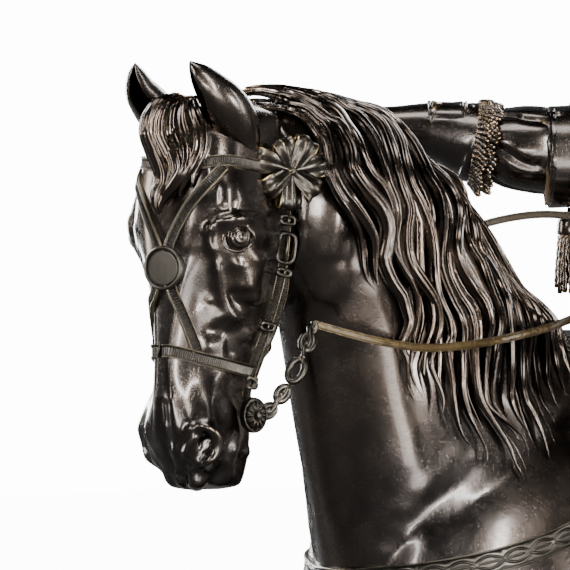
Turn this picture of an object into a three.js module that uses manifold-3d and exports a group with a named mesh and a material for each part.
// Equestrian statuette in patinated bronze: a cavalier in a wide hat, coat and fringed gauntlets rides a
// parade horse with a long falling mane. His right arm points forward, his left hand holds the reins.
// The group stands on a low moulded bronze base. Two flat strap reins are pieces of their own.
//
// Millimetres, +Z up. The horse faces -X, its left (near) side is -Y, and the origin is the middle of the
// base's underside. The figures are modelled in centimetres of the living animal and rider, measured up
// from the ground, and one factor brings them to the size of the bronze.

import * as THREE from "three";
import { mergeVertices } from "three/addons/utils/BufferGeometryUtils.js";
import Module from "manifold-3d";

const WITHERS_HEIGHT = 356; // ground to the top of the horse's shoulders
const LIVING_WITHERS = 160; // the same height on the living horse, in centimetres
const CM = WITHERS_HEIGHT / LIVING_WITHERS; // one centimetre of the living figures

const BASE_HEIGHT = 26;
const BASE_MARGIN = 22; // ground left round the outermost hooves
const BASE_CORNER = 40; // radius of the base's corners, at the foot
const BASE_STEP = 7; // how far the top stands back from the foot

const REIN_WIDTH = 3.4;
const REIN_THICKNESS = 1.2;
const REIN_GAP = 0.3; // air between a rein and what it hangs from

const STRAP_WIDTH = 6.5; // bridle straps
const STRAP_THICKNESS = 2.4;
const BREAST_STRAP_WIDTH = 9;
const CLOTH_THICKNESS = 3.2; // the saddle cloth, above the horse's back

const wasm = await Module();
wasm.setup();

const { PI, cos, sin, min, max, floor, hypot, exp, abs } = Math;
const vec = (x, y, z) => new THREE.Vector3(x, y, z);
const LEFT = vec(0, -1, 0);
const UP = vec(0, 0, 1);

// A smooth curve through the values a, b, c, d: the stretch from b to c, at t from 0 to 1 (Catmull-Rom).
function smooth(a, b, c, d, t) {
  return b + 0.5 * t * (c - a + t * (2 * a - 5 * b + 4 * c - d + t * (3 * (b - c) + d - a)));
}

// The rows of a table sampled at count even steps, on a smooth curve in each column.
function between(rows, count) {
  const last = rows.length - 1;
  return Array.from({ length: count }, (_, i) => {
    const at = (i / (count - 1)) * last;
    const k = min(floor(at), last - 1);
    const row = (j) => rows[min(max(j, 0), last)];
    return rows[k].map((b, c) => smooth(row(k - 1)[c], b, row(k + 1)[c], row(k + 2)[c], at - k));
  });
}

function middle(ring) {
  return ring.reduce((sum, p) => sum.add(p), vec(0, 0, 0)).divideScalar(ring.length);
}

// The closed skin over a row of rings that all have the same number of points, with a fan on each end.
function skin(rings) {
  const n = rings[0].length;
  const points = [...rings.flat(), middle(rings[0]), middle(rings.at(-1))];
  const [foot, head] = [points.length - 2, points.length - 1];
  const top = (rings.length - 1) * n;
  const faces = [];
  for (let i = 0; i < n; i++) {
    const j = (i + 1) % n;
    for (let r = 0; r < top; r += n) faces.push(r + i, r + j, r + n + j, r + i, r + n + j, r + n + i);
    faces.push(foot, j, i, head, top + i, top + j);
  }
  const geometry = new THREE.BufferGeometry();
  geometry.setAttribute("position", new THREE.Float32BufferAttribute(points.flatMap((p) => p.toArray()), 3));
  geometry.setIndex(faces);
  return geometry;
}

// A geometry as a solid. A skin that came out inside out is turned round.
function solid(geometry) {
  const bare = geometry.clone();
  bare.deleteAttribute("normal");
  bare.deleteAttribute("uv");
  const merged = mergeVertices(bare, 1e-4);
  const triVerts = new Uint32Array(merged.index.array);
  const vertProperties = merged.attributes.position.array;
  const made = new wasm.Manifold(new wasm.Mesh({ numProp: 3, vertProperties, triVerts }));
  if (made.volume() > 0) return made;
  return new wasm.Manifold(new wasm.Mesh({ numProp: 3, vertProperties, triVerts: triVerts.reverse() }));
}

function unite(solids) {
  return solids.reduce((sum, next) => sum.add(next));
}

function geometryOf(made) {
  const { numProp, vertProperties, triVerts } = made.getMesh();
  const points = Float32Array.from(
    { length: (vertProperties.length / numProp) * 3 },
    (_, i) => vertProperties[numProp * floor(i / 3) + (i % 3)],
  );
  const geometry = new THREE.BufferGeometry();
  geometry.setAttribute("position", new THREE.BufferAttribute(points, 3));
  geometry.setIndex(new THREE.BufferAttribute(triVerts, 1));
  return geometry;
}

// A limb along a path. Rows: x, y, z, half-size in the plane of the bend, half-size sideways. Its section
// is a ring of corners; with flute, every other corner stands out and the ones between in.
function limb(rows, { rings = 10, sides = 10, side = vec(0, 1, 0), flute = 0 } = {}) {
  const steps = between(rows, rings);
  const path = steps.map(([x, y, z]) => vec(x, y, z));
  const round = (i, a, b) => {
    const along = path[min(i + 1, rings - 1)].clone().sub(path[max(i - 1, 0)]).normalize();
    const across = side.clone().addScaledVector(along, -side.dot(along)).normalize();
    const deep = vec(0, 0, 0).crossVectors(across, along);
    return Array.from({ length: sides }, (_, k) => {
      const angle = ((k + 0.5) / sides) * 2 * PI;
      const stand = 1 + (k % 2 ? flute : -flute);
      const p = path[i].clone().addScaledVector(across, b * cos(angle) * stand);
      return p.addScaledVector(deep, a * sin(angle) * stand);
    });
  };
  return solid(skin(steps.map(([, , , a, b], i) => round(i, a, b))));
}

// A strap with a flat section along a path, lying on a surface whose outward direction is given.
function strap(path, outward, width, thickness) {
  const last = path.length - 1;
  const corners = [
    [-1, -1],
    [1, -1],
    [1, 1],
    [-1, 1],
  ];
  const ring = (p, i) => {
    const along = path[min(i + 1, last)].clone().sub(path[max(i - 1, 0)]).normalize();
    const wide = vec(0, 0, 0).crossVectors(along, outward[i]).normalize();
    const out = vec(0, 0, 0).crossVectors(wide, along);
    return corners.map(([u, v]) =>
      p
        .clone()
        .addScaledVector(wide, (u * width) / 2)
        .addScaledVector(out, (v * thickness) / 2),
    );
  };
  return solid(skin(path.map(ring)));
}

function ball([x, y, z], [rx, ry, rz], across = 10, up = 7) {
  const geometry = new THREE.SphereGeometry(1, across, up);
  geometry.scale(rx, ry, rz);
  geometry.translate(x, y, z);
  return solid(geometry);
}

function block([x0, y0, z0], [x1, y1, z1]) {
  const geometry = new THREE.BoxGeometry(x1 - x0, y1 - y0, z1 - z0);
  geometry.translate((x0 + x1) / 2, (y0 + y1) / 2, (z0 + z1) / 2);
  return solid(geometry);
}

// The trunk: x, top line, belly line, half-width, from the breast to the buttocks.
const TRUNK = [
  [-86.5, 124, 109, 8],
  [-82.5, 134, 100.5, 16],
  [-74, 143, 93, 22.5],
  [-62, 152, 86.5, 26.5],
  [-47, 158.5, 83.5, 28],
  [-36, 160, 82, 29],
  [-20, 155, 81, 30.5],
  [0, 151, 81.5, 32],
  [18, 151, 84.5, 32.5],
  [34, 154.5, 90.5, 31.5],
  [48, 158, 97, 30.5],
  [60, 157, 101, 28.5],
  [70, 151.5, 105, 25],
  [78, 143, 110, 18],
  [82, 134, 117, 8],
];

// One level of the trunk's skin. The withers are narrow at the top, and so is the croup a little.
function trunkRing([x, top, bottom, half], sides, lift = 0) {
  const withers = 0.5 * exp(-(((x + 38) / 18) ** 2)) + 0.12;
  return Array.from({ length: sides }, (_, k) => {
    const angle = (k / sides) * 2 * PI;
    const narrow = 1 - withers * max(0, sin(angle)) ** 3;
    const y = (half + lift) * cos(angle) * narrow;
    return vec(x, y, (top + bottom) / 2 + ((top - bottom) / 2 + lift) * sin(angle));
  });
}

const trunk = () => solid(skin(between(TRUNK, 14).map((row) => trunkRing(row, 16))));

// The neck, from the withers to the poll: the crest's x and z, the throat's x and z, the middle's y and
// the half-width.
const NECK = [
  [-36, 157, -86, 110, 0, 21],
  [-48, 163, -90.5, 126, -0.3, 18],
  [-56.5, 171, -94, 139, -1.2, 15.5],
  [-65, 181, -97.5, 150.5, -3, 13.3],
  [-75, 191, -100.5, 158.5, -5, 11.8],
  [-93, 197, -103, 165, -7, 10.6],
  [-109, 196.5, -106, 169, -8.5, 9.3],
];
const CREST_PINCH = 0.5; // how much narrower the neck is at its crest

function neck() {
  const sides = 14;
  const ring = ([cx, cz, tx, tz, y, half]) =>
    Array.from({ length: sides }, (_, k) => {
      const angle = ((k + 0.5) / sides) * 2 * PI;
      const up = (1 + sin(angle)) / 2;
      const narrow = 1 - CREST_PINCH * max(0, sin(angle)) ** 2;
      return vec(tx + (cx - tx) * up, y + half * cos(angle) * narrow, tz + (cz - tz) * up);
    });
  return solid(skin(between(NECK, 9).map(ring)));
}

// The head hangs nearly upright. Each row is one level section: the depth below the poll, then, forward
// of the head's axis, the face's front line; the half-width of the face's front edge; the half-width and
// place of the cheekbone; the half-width and place of the jaw; and the rear line.
const HEAD_AXIS = vec(-129.5, -11.5, 198);
const HEAD_TURN = (17 * PI) / 180; // towards the horse's left
const HEAD = [
  [0.5, -8, 2, 4, -12, 4, -17, -21],
  [2.5, -4.2, 4.2, 6.8, -10, 7, -18.5, -25],
  [6, -2.6, 5.5, 8.2, -9, 8, -19.5, -27],
  [11, -1.4, 6.3, 9.2, -8, 8.6, -20.5, -29.5],
  [16, -0.5, 6.6, 10.2, -6.5, 8.8, -21, -31],
  [20, -0.1, 6.2, 11.4, -5.6, 8.8, -21, -31.8],
  [23, 0, 5.6, 11.5, -6, 8.7, -21, -32],
  [27.5, 0, 4.8, 9.3, -7.5, 8.4, -21, -31],
  [33, -0.3, 3.7, 8, -9, 7.4, -19.5, -28],
  [39, -0.7, 3.1, 6.4, -8.5, 5.8, -16.5, -22.8],
  [45, -1, 3, 5.4, -7.5, 4.8, -13.5, -18.8],
  [50, -0.7, 3.6, 6.3, -4.6, 5.2, -12.6, -17.6],
  [54, -0.8, 4.4, 7.5, -3.8, 6, -12.8, -17.8],
  [58, -1.9, 4, 6.8, -4.8, 5.6, -12.8, -17.5],
  [61, -4.3, 3, 4.6, -6.6, 4.4, -12.6, -16.4],
  [62.8, -7, 1.4, 2.2, -8.6, 2.2, -12, -14],
];
const HEAD_LEVELS = between(HEAD, 181);
const HEAD_MIDDLE = 12; // the middle of the head's sections lies this far behind its axis

// A place by its measures off the head's axis: forward, to the horse's left, and below the poll.
function offHead(forward, left, depth) {
  return [
    HEAD_AXIS.x - forward * cos(HEAD_TURN) + left * sin(HEAD_TURN),
    HEAD_AXIS.y - forward * sin(HEAD_TURN) - left * cos(HEAD_TURN),
    HEAD_AXIS.z - depth,
  ];
}

// A point of the head's skin: its depth below the poll, its place round the head (0 the middle of the
// face, 0.5 the middle of the jaw, 0 to 0.5 on the left side), and its lift above the skin.
function headPoint(depth, round, lift = 0) {
  const nearest = (best, row) => (abs(row[0] - depth) < abs(best[0] - depth) ? row : best);
  const [, front, w1, w2, f2, w3, f3, rear] = HEAD_LEVELS.reduce(nearest);
  const half = [
    [0, front],
    [w1, front - 0.3 * w1],
    [w2, f2],
    [w3, f3],
    [0.6 * w3, rear - 0.18 * (rear - f3)],
    [0, rear],
  ];
  const at = 10 * (round <= 0.5 ? round : 1 - round);
  const k = min(floor(at), 4);
  const pick = (i, c) => (i < 0 ? half[-i] : i > 5 ? half[10 - i] : half[i])[c] * (c === 0 && (i < 0 || i > 5) ? -1 : 1);
  const [left, forward] = [0, 1].map((c) => smooth(...[-1, 0, 1, 2].map((j) => pick(k + j, c)), at - k));
  const size = hypot(left, forward + HEAD_MIDDLE) || 1;
  const sign = round <= 0.5 ? 1 : -1;
  const grown = 1 + lift / size;
  return vec(...offHead((forward + HEAD_MIDDLE) * grown - HEAD_MIDDLE, sign * left * grown, depth));
}

function skull() {
  const sides = 14;
  const ring = ([depth]) => Array.from({ length: sides }, (_, k) => headPoint(depth, (k + 0.5) / sides));
  return solid(skin(between(HEAD, 17).map(ring)));
}

function ears() {
  return [1, -1].map((s) => {
    const rows = [
      [...offHead(-9, 6.2 * s, 9), 3.4, 2.6],
      [...offHead(-7.2, 7.4 * s, 4.5), 4.3, 3],
      [...offHead(-4.6, 7.4 * s, 0), 3.6, 2.3],
      [...offHead(-1.4, 6.3 * s, -3.4), 1.7, 1.3],
      [...offHead(0.4, 5.6 * s, -5), 0.3, 0.3],
    ];
    return limb(rows, { rings: 7, sides: 6, side: vec(sin(HEAD_TURN), -cos(HEAD_TURN), 0) });
  });
}

function forelock() {
  const rows = [
    [...offHead(-10, 0, 4.2), 2.6, 4],
    [...offHead(-4, 1, 3.6), 3.4, 5.2],
    [...offHead(-0.2, 2, 7), 3, 4.8],
    [...offHead(1.4, 2.6, 11.5), 2.4, 3.8],
    [...offHead(1.4, 1.6, 16), 1.9, 2.4],
    [...offHead(1, 0.6, 20.5), 0.5, 0.6],
  ];
  return limb(rows, { rings: 9, sides: 8, flute: 0.1, side: vec(sin(HEAD_TURN), -cos(HEAD_TURN), 0) });
}

// A strap on the head through places given as depth below the poll and place round the head.
function headStrap(places, width = STRAP_WIDTH) {
  const rows = between(places, 4);
  const path = rows.map(([depth, round]) => headPoint(depth, round, 0.2));
  const outward = rows.map(([depth, round], i) => headPoint(depth, round, 1.5).sub(path[i]).normalize());
  return strap(path, outward, width / CM, STRAP_THICKNESS / CM);
}

const ROSETTE = [-19.5, 9.6, 11.9]; // forward, left, depth below the poll
const BIT_BOSS = [-13.7, 6.6, 51];

function bridle(side) {
  const round = (r) => (side > 0 ? r : 1 - r);
  const at = ([forward, left, depth]) => offHead(forward, side * left, depth);
  const straps = [
    [[11.5, round(0.001)], [11.5, round(0.15)], [12, round(0.24)]],
    [[13, round(0.13)], [20, round(0.07)], [27, round(0.01)]],
    [[27, round(0.01)], [34, round(0.06)], [40.5, round(0.12)]],
    [[40, round(0.001)], [41, round(0.12)], [44.5, round(0.32)]],
    [[15, round(0.28)], [30, round(0.29)], [50, round(0.32)]],
  ].map((places) => headStrap(places));
  const [forward, left, depth] = ROSETTE;
  const outwards = vec(side * sin(HEAD_TURN), -side * cos(HEAD_TURN), 0);
  const flower = [
    [...at([forward, left - 1.2, depth]), 4.4, 4.4],
    [...at([forward, left + 0.6, depth]), 5.6, 5.6],
    [...at([forward, left + 1.6, depth]), 4, 4],
    [...at([forward, left + 2.4, depth]), 1.6, 1.6],
  ];
  const rosette = limb(flower, { rings: 4, sides: 12, flute: 0.09, side: vec(0, 0, 1).addScaledVector(outwards, 0.01) });
  return [...straps, rosette, ball(at(BIT_BOSS), [2, 1.5, 2.7], 6, 4)];
}

// Links between the bit and the two reins, from the boss up to where each rein starts.
const NEAR_REIN = [
  [-102.6, -14.5, 161.5],
  [-93, -18.5, 158.8],
  [-84, -21.5, 157.6],
  [-71.6, -24.5, 159],
  [-55.5, -23.5, 162.6],
  [-40, -17, 168.5],
  [-27.5, -9.5, 175.5],
];
const FAR_REIN = [
  [-109, 6, 160],
  [-98, 12.5, 160],
  [-84, 17.5, 163],
  [-68, 19, 169],
  [-53, 14, 176.5],
  [-40, 7, 180],
  [-27.5, -2.5, 178.5],
];

function bitLink(side, end) {
  const [x, y, z] = offHead(BIT_BOSS[0], side * BIT_BOSS[1], BIT_BOSS[2] - 1);
  const [ex, ey, ez] = end;
  const rows = [
    [x, y, z, 0.9, 0.9],
    [x + 0.3 * (ex - x), y + 0.3 * (ey - y), z + 0.15 * (ez - z), 1.1, 1.1],
    [x + 0.65 * (ex - x), y + 0.65 * (ey - y), z + 0.6 * (ez - z), 1.5, 1.5],
    [ex, ey, ez, 0.9, 0.9],
  ];
  return limb(rows, { rings: 6, sides: 6 });
}

// Legs. Each is straight down from its joint, and the sole is cut off level with the ground afterwards.
function standingForeleg(y) {
  const rows = [
    [-60, y * 0.9, 128, 15, 8],
    [-58, y, 112, 12.5, 8.6],
    [-57, y, 98, 9.8, 7.6],
    [-57.5, y, 82, 7, 6],
    [-58.5, y, 66, 5.3, 4.8],
    [-59, y, 57, 5.6, 5.2],
    [-58.5, y, 49, 4.3, 4],
    [-58, y, 38, 3.3, 2.9],
    [-57.5, y, 27, 3.7, 3.3],
    [-58, y, 21.5, 4.6, 4],
    [-60.5, y, 14, 3.4, 3.3],
    [-63, y, 8, 5, 4.8],
    [-66, y, -2, 7.2, 6.3],
  ];
  return [limb(rows, { rings: 15, sides: 8 })];
}

function raisedForeleg(y) {
  const upper = [
    [-60, y * 0.9, 128, 15, 8],
    [-62, y, 112, 12.5, 8.6],
    [-67, y, 101, 9.8, 7.6],
    [-77, y, 94, 7.4, 6.2],
    [-88, y, 89, 5.6, 5],
    [-95, y, 86, 5.2, 4.8],
  ];
  const lower = [
    [-94, y, 88, 5, 4.8],
    [-92.5, y, 80, 4.6, 4.2],
    [-89, y, 69, 3.3, 3],
    [-85.5, y, 58, 3.8, 3.4],
    [-83, y, 53, 4.7, 4],
    [-78, y, 48.5, 3.4, 3.3],
    [-73, y, 46, 5, 4.8],
    [-65, y, 42, 7.2, 6.3],
  ];
  return [limb(upper, { rings: 7, sides: 8 }), limb(lower, { rings: 10, sides: 7 })];
}

function hindLeg(y, stride) {
  const hip = 132;
  const rows = [
    [54, y * 0.85, hip, 22, 11],
    [51, y, 116, 21, 13],
    [49, y, 103, 17, 12.2],
    [50, y, 92, 13, 10],
    [57, y, 80, 9.6, 7.6],
    [65, y, 68, 6.8, 5.6],
    [71, y, 58, 7, 5.5],
    [71, y, 50, 5.3, 4.4],
    [69.5, y, 38, 3.9, 3.4],
    [67.5, y, 27, 4.2, 3.6],
    [66.5, y, 21, 5, 4.2],
    [63.5, y, 14, 3.7, 3.5],
    [61, y, 8, 5.2, 4.9],
    [57.5, y, -2, 7.5, 6.4],
  ];
  const stepped = rows.map(([x, ...rest]) => [x + (stride * (hip - rest[1])) / hip, ...rest]);
  return [limb(stepped, { rings: 15, sides: 8 })];
}

function tail() {
  const rows = [
    [76, 0, 147, 5, 5],
    [86, 0, 149, 5.5, 6],
    [94, 1, 142, 6.8, 7.5],
    [99, 2, 124, 7.8, 9],
    [100, 3, 98, 8.2, 10],
    [98, 4, 72, 7.6, 9],
    [97, 5, 52, 6, 7],
    [100, 6, 36, 4, 4.5],
    [105, 6, 24, 1, 1.2],
  ];
  return [limb(rows, { rings: 10, sides: 10, flute: 0.08 })];
}

// The mane: a roll of hair along the crest, and locks that fall on the near side. Each guide is a place
// along the crest, from 0 at the withers to 1 at the poll, and the x and z of the lock's tip.
const MANE_GUIDES = [
  [1, -90, 167],
  [0.86, -83, 150],
  [0.72, -79, 141],
  [0.55, -72, 134],
  [0.4, -64, 136],
  [0.22, -56, 138],
  [0.06, -47, 143],
];
const MANE_LOCKS = 11;
const LOCK_WAVE = 1.3;

function crestAt(t) {
  const rows = between(NECK, 101);
  const [x, z, , , y] = rows[floor(t * 100)];
  return vec(x, y, z);
}

// Where a straight line from the near side meets the horse, at a given x and z.
function nearSide(body, x, z) {
  const ray = new THREE.Raycaster(vec(x, -80, z), vec(0, 1, 0));
  return ray.intersectObject(body)[0]?.point.y;
}

function mane(horse) {
  const body = new THREE.Mesh(geometryOf(horse), new THREE.MeshBasicMaterial({ side: THREE.DoubleSide }));
  const roll = Array.from({ length: 12 }, (_, k) => crestAt(k / 11)).map(({ x, y, z }, k) => {
    const full = min(1, 0.55 + 0.1 * k);
    return [x, y - 0.8, z - 1.2, 4 * full, 6 * full];
  });
  const lock = ([t, tipX, tipZ], k) => {
    const root = crestAt(t);
    const length = hypot(root.x - tipX, root.z - tipZ);
    const along = crestAt(max(t - 0.1, 0)).sub(root).normalize();
    const rows = Array.from({ length: 9 }, (_, i) => {
      const s = i / 8;
      const pull = [(1 - s) ** 3, 3 * s * (1 - s) ** 2, 3 * s * s * (1 - s), s ** 3];
      const wave = LOCK_WAVE * s * sin(2 * PI * 1.4 * s + k);
      const x = pull[0] * root.x + pull[1] * (root.x + 0.35 * length * along.x) + (pull[2] + pull[3]) * tipX;
      const z =
        pull[0] * (root.z - 2) +
        pull[1] * (root.z - 2 + 0.35 * length * along.z) +
        pull[2] * (tipZ + 0.35 * length) +
        pull[3] * tipZ;
      const y = nearSide(body, x + wave, z) ?? root.y;
      const thick = 0.25 + sin(PI * min(0.92, 0.18 + 0.75 * s));
      return [x + wave, y - 0.4, z, 4.9 * thick, 2.4 * thick];
    });
    return limb(rows, { rings: 6, sides: 5 });
  };
  return [limb(roll, { rings: 8, sides: 6 }), ...between(MANE_GUIDES, MANE_LOCKS).map(lock)];
}

// The breast strap runs round the breast and back along both shoulders to the saddle.
function breastStrap(horse) {
  const body = new THREE.Mesh(geometryOf(horse), new THREE.MeshBasicMaterial({ side: THREE.DoubleSide }));
  const centre = vec(-48, 0, 0);
  const hits = Array.from({ length: 13 }, (_, k) => {
    const angle = (k / 12 - 0.5) * 1.24 * PI;
    const level = 131.6 - 12.5 * cos(angle);
    const out = vec(-cos(angle), -sin(angle), 0);
    const from = centre.clone().addScaledVector(out, 90).setZ(level);
    const hit = new THREE.Raycaster(from, out.clone().negate()).intersectObject(body)[0].point;
    return { point: hit.addScaledVector(out, 0.1), out };
  });
  const [path, outward] = [hits.map((h) => h.point), hits.map((h) => h.out)];
  return strap(path, outward, BREAST_STRAP_WIDTH / CM, STRAP_THICKNESS / CM);
}

// The saddle, its cloth, and the straps that hold it.
function saddle() {
  const lift = CLOTH_THICKNESS / CM;
  const span = between(TRUNK, 60).filter(([x]) => x > -24 && x < 43);
  const stations = span.filter((_, i) => i % 6 === 0 || i === span.length - 1);
  const cloth = solid(skin(stations.map((row) => trunkRing(row, 16, lift))));
  const hem = block([-30, -50, 112], [50, 50, 190]);
  const cantle = [
    [20, -18, 148, 3.5, 6],
    [24, -11, 156, 3.5, 8],
    [25, 0, 159, 3.5, 9],
    [24, 11, 156, 3.5, 8],
    [20, 18, 148, 3.5, 6],
  ];
  const pommel = [
    [-20, -15, 149, 3.5, 6],
    [-22, -9, 158, 3.5, 8],
    [-23, 0, 162, 3.5, 8],
    [-22, 9, 158, 3.5, 8],
    [-20, 15, 149, 3.5, 6],
  ];
  const arch = { rings: 7, sides: 6, side: vec(1, 0, 0) };
  const roll = (rows) => limb(rows.map(([x, y, z, thick, deep]) => [x, y * 0.92, z - deep * 0.7, deep, thick]), arch);
  return [cloth.intersect(hem), roll(cantle), roll(pommel)];
}

// The rider. Rows as for a limb.
function riderBody() {
  const torso = [
    [-2, 0, 150, 13, 17],
    [-3, 0, 160, 12.5, 16.5],
    [-5, 0, 172, 10.8, 14],
    [-7, 0, 184, 12, 15.5],
    [-8, 0, 196, 12.4, 18],
    [-8, 0, 204, 10.5, 18.5],
    [-8.5, 0, 210, 7, 11],
    [-9, 0, 215, 5.5, 6],
    [-10, 0, 222, 5.5, 5.5],
  ];
  const skirts = [
    [-2, 0, 172, 10.8, 14.4],
    [0, 0, 164, 15, 19],
    [5, 0, 155, 20, 26],
    [10, 0, 146, 24, 33],
    [13, 0, 137, 26, 37],
  ];
  const sash = [
    [-4.6, 0, 169, 12.4, 15.6],
    [-5, 0, 172, 12.6, 15.8],
    [-5.4, 0, 175, 12.2, 15.4],
  ];
  return [
    limb(torso, { rings: 9, sides: 10 }),
    limb(skirts, { rings: 4, sides: 18, flute: 0.04 }),
    limb(sash, { rings: 3, sides: 10 }),
  ];
}

// Forearm rows: distance from the elbow, height, half-size upright, half-size sideways. The forearm
// points forward and FOREARM_YAW outward.
const FOREARM_YAW = (35 * Math.PI) / 180;
const ELBOW = [-18.5, 18.5];

function alongForearm(rows, aside = 0) {
  const [cos, sin] = [Math.cos(FOREARM_YAW), Math.sin(FOREARM_YAW)];
  return rows.map(([run, height, high, wide]) => [
    ELBOW[0] - run * cos + aside * sin,
    ELBOW[1] + run * sin + aside * cos,
    height,
    high,
    wide,
  ]);
}

function rightArm() {
  const sleeve = [
    [-6, 13, 206, 7.5, 7.5],
    [-9, 16.5, 202.5, 8.2, 8],
    [-13, 18, 197, 8.5, 8.2],
    [-17.5, 18.6, 191.8, 8.5, 8.2],
    [-22.6, 21.4, 190.8, 8, 7.8],
  ];
  const cuff = alongForearm([
    [0.6, 190.9, 8.8, 8.8],
    [4, 190.7, 9.2, 9.1],
    [7.4, 190.6, 9.2, 9.1],
  ]);
  const shirt = alongForearm([
    [5, 191, 7, 7],
    [9.5, 191.9, 7.9, 7.8],
    [13.5, 192.3, 7.7, 7.6],
    [17, 192.9, 6.8, 6.8],
    [20.5, 193.6, 5.4, 5.4],
  ]);
  const gauntlet = alongForearm([
    [20.2, 193.1, 7.2, 7.2],
    [22, 193.6, 6.8, 6.9],
    [24.2, 195, 5.4, 5.4],
    [28, 196.7, 3.9, 4.3],
    [33, 196.2, 3.7, 3.8],
    [36, 195.6, 4, 3.7],
    [39.5, 195.2, 4.2, 3.1],
    [43, 194.8, 3, 1.4],
  ]);
  const forefinger = alongForearm(
    [
      [39.5, 195.8, 1.2, 1.1],
      [47, 195.6, 1.1, 1],
      [52, 195, 0.7, 0.7],
    ],
    -2.4,
  );
  return [
    limb(sleeve, { rings: 5, sides: 8 }),
    limb(cuff, { rings: 2, sides: 10 }),
    limb(shirt, { rings: 5, sides: 10, flute: 0.04 }),
    limb(gauntlet, { rings: 8, sides: 8 }),
    limb(forefinger, { rings: 3, sides: 5 }),
  ];
}

function leftArm() {
  const sleeve = [
    [-6, -13, 206, 7.5, 7.5],
    [-7, -18.5, 203, 8, 8],
    [-6, -24, 193, 8, 8],
    [-4, -27, 183, 9, 9],
    [-4, -27.5, 179.5, 9.2, 9.2],
  ];
  const forearm = [
    [-1, -28, 180, 6, 6],
    [-8, -24.5, 177.5, 7, 7],
    [-14, -19, 176.8, 5, 5],
    [-20, -13, 176.6, 3.8, 3.8],
    [-25, -8.5, 177, 4.6, 4.2],
    [-27.5, -4, 177, 4.2, 4],
    [-28, -1, 177, 1.5, 1.5],
  ];
  return [limb(sleeve, { rings: 6, sides: 8 }), limb(forearm, { rings: 7, sides: 7 })];
}

function riderLeg(s) {
  const thigh = [
    [2, 9 * s, 156, 11, 9],
    [-12, 18 * s, 151, 11, 9.5],
    [-26, 25.5 * s, 142, 10, 9],
    [-36, 29 * s, 133, 9, 8.4],
    [-38, 30 * s, 127, 7.5, 7.5],
  ];
  const boot = [
    [-38.5, 30 * s, 138, 10.5, 9.6],
    [-37, 30.5 * s, 128, 9.4, 8.8],
    [-32, 32 * s, 114, 7.2, 6.8],
    [-28, 33 * s, 100, 6, 5.6],
    [-25, 33.8 * s, 88, 4.8, 4.4],
    [-24, 34 * s, 80, 5.2, 4.4],
    [-24, 34 * s, 75, 4.8, 4.2],
  ];
  const foot = [
    [-19, 33.6 * s, 77, 3.2, 3],
    [-24, 34 * s, 77, 4.6, 3.9],
    [-32, 35 * s, 77, 4, 3.9],
    [-40, 36 * s, 77.6, 3.4, 3.8],
    [-46, 36.8 * s, 78.4, 1.6, 2.4],
  ];
  const stirrup = [
    [-34, 29 * s, 73.4, 1, 3],
    [-34, 35 * s, 72.6, 1, 3],
    [-34, 41 * s, 73.4, 1, 3],
  ];
  return [
    limb(thigh, { rings: 5, sides: 8 }),
    limb(boot, { rings: 7, sides: 8 }),
    limb(foot, { rings: 5, sides: 6 }),
    limb(stirrup, { rings: 3, sides: 5, side: vec(1, 0, 0) }),
  ];
}

// The head, its curls, and the wide hat with a plume. The hat is turned up a little at the sides.
const FACE = [-12, 0, 229];

function riderHead() {
  const [x, y, z] = FACE;
  const nose = [
    [x - 8, y, z + 3, 1.5, 1.5],
    [x - 10.6, y, z - 0.5, 1.4, 1.5],
    [x - 11.6, y, z - 3, 1.2, 1.6],
    [x - 8, y, z - 4, 1, 1.4],
  ];
  const curls = [-1, 1].map((s) =>
    limb(
      [
        [x + 4, 5 * s, z + 6, 5, 4],
        [x + 3, 9 * s, z - 3, 6.5, 4.5],
        [x + 4, 10.5 * s, z - 14, 6.5, 5],
        [x + 3, 11.5 * s, z - 24, 5, 4.5],
        [x + 1, 12 * s, z - 31, 2, 2],
      ],
      { rings: 6, sides: 6 },
    ),
  );
  const nape = [
    [x + 5, 0, z + 8, 6, 7],
    [x + 9, 0, z - 4, 6, 8.5],
    [x + 10, 0, z - 18, 6, 10],
    [x + 10, 0, z - 30, 4, 8],
    [x + 9, 0, z - 36, 1.5, 4],
  ];
  return [
    ball(FACE, [9.4, 7.8, 12], 10, 8),
    ball([x - 6.6, y, z - 8.8], [3, 3.4, 2.8], 7, 5),
    limb(nose, { rings: 4, sides: 5 }),
    ...curls,
    limb(nape, { rings: 6, sides: 8 }),
  ];
}

function hat() {
  const [x, , z] = FACE;
  const brim = { reach: 19, rise: 3.6, thickness: 1.1 };
  const ring = (reach, lift) =>
    Array.from({ length: 16 }, (_, k) => {
      const angle = (k / 16) * 2 * PI;
      const curl = brim.rise * sin(angle) ** 2 * (reach / brim.reach) ** 2;
      return vec(x + 1 + reach * cos(angle), 0.86 * reach * sin(angle), z + 7 + lift + curl);
    });
  const brimSkin = skin([
    ring(5, 0),
    ring(12, -0.3),
    ring(brim.reach, 0),
    ring(brim.reach, brim.thickness),
    ring(12, brim.thickness - 0.2),
  ]);
  const crown = [
    [x + 1, 0, z + 6, 9.6, 8.6],
    [x + 1, 0, z + 12, 8.6, 7.8],
    [x + 1, 0, z + 16, 7.8, 7],
    [x + 1, 0, z + 18.4, 5, 4.6],
  ];
  const plume = [
    [x - 8, -7, z + 10, 1.6, 1.6],
    [x - 2, -10.4, z + 14, 3, 2.2],
    [x + 8, -9, z + 15, 3.4, 2.6],
    [x + 18, -4, z + 12, 3.4, 2.6],
    [x + 24, -1, z + 6, 2.8, 2.2],
    [x + 26, 0, z - 1, 0.8, 0.8],
  ];
  return [solid(brimSkin), limb(crown, { rings: 4, sides: 10 }), limb(plume, { rings: 7, sides: 6 })];
}

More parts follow.
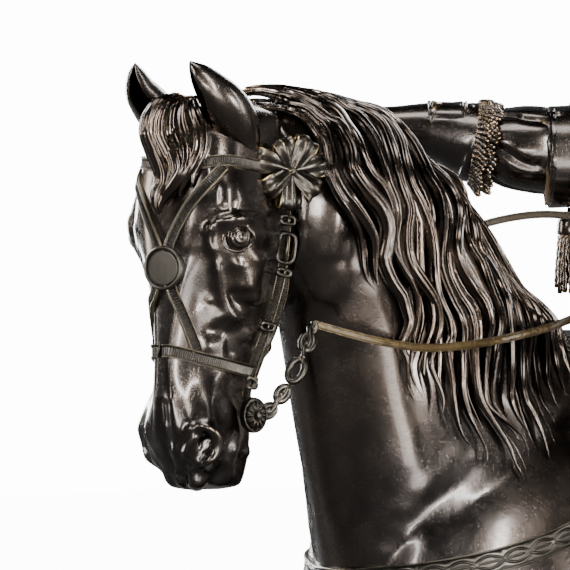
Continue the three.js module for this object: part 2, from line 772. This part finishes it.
function sword() {
  const scabbard = [
    [-4, -19, 163, 1.5, 1.3],
    [14, -33, 150, 1.5, 1.3],
    [34, -38, 134, 1.4, 1.2],
    [58, -40, 114, 0.9, 0.8],
  ];
  const hilt = [
    [-2, -20.5, 161.5, 1, 1],
    [-9, -17, 166.5, 1.3, 1.3],
    [-12, -15.5, 168.5, 2, 2],
  ];
  return [limb(scabbard, { rings: 4, sides: 5 }), limb(hilt, { rings: 3, sides: 5 }), ball([-4, -19.5, 163], [2.6, 3.4, 2.6], 6, 4)];
}

// The moulded base: level rings with rounded corners, standing back from the foot step by step.
const HOOVES = { reach: 76, side: 23 }; // from the origin to the outermost hooves, in centimetres

function baseRing(inset, z) {
  const halfLength = CM * HOOVES.reach + BASE_MARGIN - inset;
  const halfWidth = CM * HOOVES.side + BASE_MARGIN - inset;
  const corner = BASE_CORNER - inset;
  return Array.from({ length: 24 }, (_, k) => {
    const quarter = floor(k / 6);
    const angle = ((quarter + (k % 6) / 5) * PI) / 2;
    const [sx, sy] = [
      [1, 1],
      [-1, 1],
      [-1, -1],
      [1, -1],
    ][quarter];
    return vec(
      sx * (halfLength - corner) + corner * cos(angle),
      sy * (halfWidth - corner) + corner * sin(angle),
      z,
    );
  });
}

function base() {
  const rise = BASE_HEIGHT;
  const profile = [
    [0, 0],
    [0, 0.22],
    [0.18, 0.3],
    [0.5, 0.42],
    [0.75, 0.62],
    [0.8, 0.78],
    [0.55, 0.84],
    [1, 1],
  ];
  return solid(skin(profile.map(([inset, up]) => baseRing(inset * BASE_STEP, up * rise))));
}

// A rein: a flat strap that runs on edge along its path, its face turned outwards. Grown by a gap on every
// side, it is the room the rein needs in what it passes through.
function rein(points, gap = 0) {
  const rows = between(points, 15);
  const path = rows.map(([x, y, z]) => vec(x, y, z));
  const last = path.length - 1;
  const outward = path.map((_, i) => {
    const along = path[min(i + 1, last)].clone().sub(path[max(i - 1, 0)]);
    return vec(0, 0, 0).crossVectors(along, UP).normalize();
  });
  path[0].addScaledVector(path[0].clone().sub(path[1]).normalize(), gap / CM);
  path[last].addScaledVector(path[last].clone().sub(path[last - 1]).normalize(), gap / CM);
  return strap(path, outward, (REIN_WIDTH + 2 * gap) / CM, (REIN_THICKNESS + 2 * gap) / CM);
}

const bronze = new THREE.MeshStandardMaterial({ color: 0x2a2320, roughness: 0.3, metalness: 0.85 });
const brownBronze = new THREE.MeshStandardMaterial({ color: 0x6a4f35, roughness: 0.45, metalness: 0.8 });

function meshOf(name, made, material) {
  const mesh = new THREE.Mesh(geometryOf(made), material);
  mesh.name = name;
  return mesh;
}

const barrel = unite([trunk(), neck()]);
const horse = unite([
  barrel,
  skull(),
  ...ears(),
  forelock(),
  ...bridle(1),
  ...bridle(-1),
  headStrap([[25.4, 0.001], [27, 0.001], [30, 0.001]], 2.6 * STRAP_WIDTH),
  bitLink(1, NEAR_REIN[0]),
  bitLink(-1, FAR_REIN[0]),
  ...standingForeleg(-16),
  ...raisedForeleg(16),
  ...hindLeg(-15.5, 12),
  ...hindLeg(15.5, -18),
  ...tail(),
  ...mane(barrel),
  breastStrap(barrel),
]);
const rider = unite([...riderBody(), ...rightArm(), ...leftArm(), ...riderLeg(1), ...riderLeg(-1), ...riderHead(), ...hat()]);
const ground = block([-200, -100, -20], [200, 100, 0]);

// The outer skin alone: hollows that the crossing limbs close off inside are left out.
const outer = (made) => made.decompose().reduce((best, next) => (next.volume() > best.volume() ? next : best));
const toSize = (made) => made.scale([CM, CM, CM]).translate([0, 0, BASE_HEIGHT]);
const SLIVER = 1.1; // detail finer than this many millimetres is left out of the figures' skin

const cast = toSize(unite([horse, ...saddle(), rider, ...sword()]).subtract(ground)).simplify(SLIVER);
const room = [NEAR_REIN, FAR_REIN].map((points) => toSize(rein(points, REIN_GAP)));

const statuette = new THREE.Group();
statuette.add(meshOf("horse_and_rider", outer(cast.subtract(unite(room))), bronze));
statuette.add(meshOf("base", base(), bronze));
statuette.add(meshOf("near_rein", toSize(rein(NEAR_REIN)), brownBronze));
statuette.add(meshOf("far_rein", toSize(rein(FAR_REIN)), brownBronze));

export default statuette;
